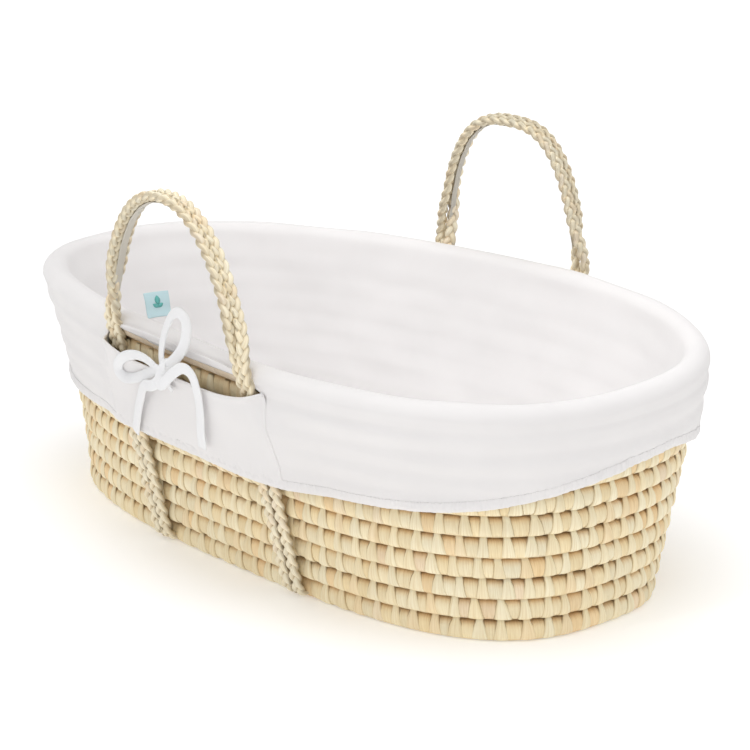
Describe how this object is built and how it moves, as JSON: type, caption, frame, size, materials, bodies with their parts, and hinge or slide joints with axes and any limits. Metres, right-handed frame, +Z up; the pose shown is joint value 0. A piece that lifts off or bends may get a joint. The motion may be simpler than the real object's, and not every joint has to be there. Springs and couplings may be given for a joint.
{
  "type": "moses basket",
  "caption": "Oval palm-leaf Moses basket with coiled walls, two braided carrying handles, a white cotton liner with tied bows and a lift-out mattress.",
  "frame": {"origin": "centre of the bounding box in plan, on the surface the basket stands on", "axes": "+X along the length towards the wide head end, -Y the front, +Z up"},
  "size_m": [0.8023, 0.5377, 0.406],
  "materials": {
    "palm_coil": "dry natural palm leaf, satin",
    "smooth_leaf": "smooth wrapped palm leaf",
    "palm_braid": "braided palm leaf, satin",
    "sewing_thread": "waxed cotton thread",
    "handle_tape": "flat cotton tape",
    "tie_cotton": "soft knitted cotton tape",
    "woven_label": "satin woven label with a plain leaf motif",
    "elastic": "flat braided elastic",
    "foam": "soft foam",
    "mattress_cotton": "fine plain-weave cotton",
    "liner_cotton": "fine plain-weave cotton, washed"
  },
  "bodies": {
    "basket": {"floor_coil_1": "palm_coil", "floor_coil_2": "palm_coil", "floor_coil_3": "palm_coil", "floor_coil_4": "palm_coil", "floor_coil_5": "palm_coil", "floor_coil_6": "palm_coil", "floor_coil_start": "palm_coil", "foot_skirt": "liner_cotton", "foot_strap_braid_a": "palm_braid", "foot_strap_braid_b": "palm_braid", "foot_strap_sewing": "sewing_thread", "front_bow_knot": "tie_cotton", "front_flap": "liner_cotton", "front_lower_tie": "tie_cotton", "front_panel": "liner_cotton", "front_upper_tie": "tie_cotton", "head_skirt": "liner_cotton", "head_strap_braid_a": "palm_braid", "head_strap_braid_b": "palm_braid", "head_strap_sewing": "sewing_thread", "hem_casing": "liner_cotton", "hem_elastic": "elastic", "liner_floor": "liner_cotton", "liner_wall": "liner_cotton", "rear_bow_knot": "tie_cotton", "rear_flap": "liner_cotton", "rear_lower_tie": "tie_cotton", "rear_panel": "liner_cotton", "rear_upper_tie": "tie_cotton", "rim_coil": "smooth_leaf", "rim_roll": "liner_cotton", "wall_coil_01": "palm_coil", "wall_coil_02": "palm_coil", "wall_coil_03": "palm_coil", "wall_coil_04": "palm_coil", "wall_coil_05": "palm_coil", "wall_coil_06": "palm_coil", "wall_coil_07": "palm_coil", "wall_coil_08": "palm_coil", "wall_coil_09": "palm_coil", "wall_coil_10": "palm_coil", "woven_label": "woven_label"},
    "handle_front": {"front_handle_inner_braid": "palm_braid", "front_handle_outer_braid": "palm_braid", "front_handle_sewing": "sewing_thread", "front_handle_tape": "handle_tape"},
    "handle_rear": {"rear_handle_inner_braid": "palm_braid", "rear_handle_outer_braid": "palm_braid", "rear_handle_sewing": "sewing_thread", "rear_handle_tape": "handle_tape"},
    "mattress": {"mattress_core": "foam", "mattress_cover": "mattress_cotton"}
  },
  "joints": [
    {"name": "front_handle_swing", "type": "hinge", "parent": "basket", "child": "handle_front", "pos_m": [-0.00059, -0.24237, 0.256], "axis": [0.9931, -0.1172, 0], "range_deg": [-62, 120]},
    {"name": "rear_handle_swing", "type": "hinge", "parent": "basket", "child": "handle_rear", "pos_m": [-0.0006, 0.24447, 0.256], "axis": [-0.9928, -0.1201, 0], "range_deg": [-62, 120]},
    {"name": "mattress_lift", "type": "slide", "parent": "basket", "child": "mattress", "axis": [0, 0, 1], "range_m": [0, 0.2]}
  ]
}
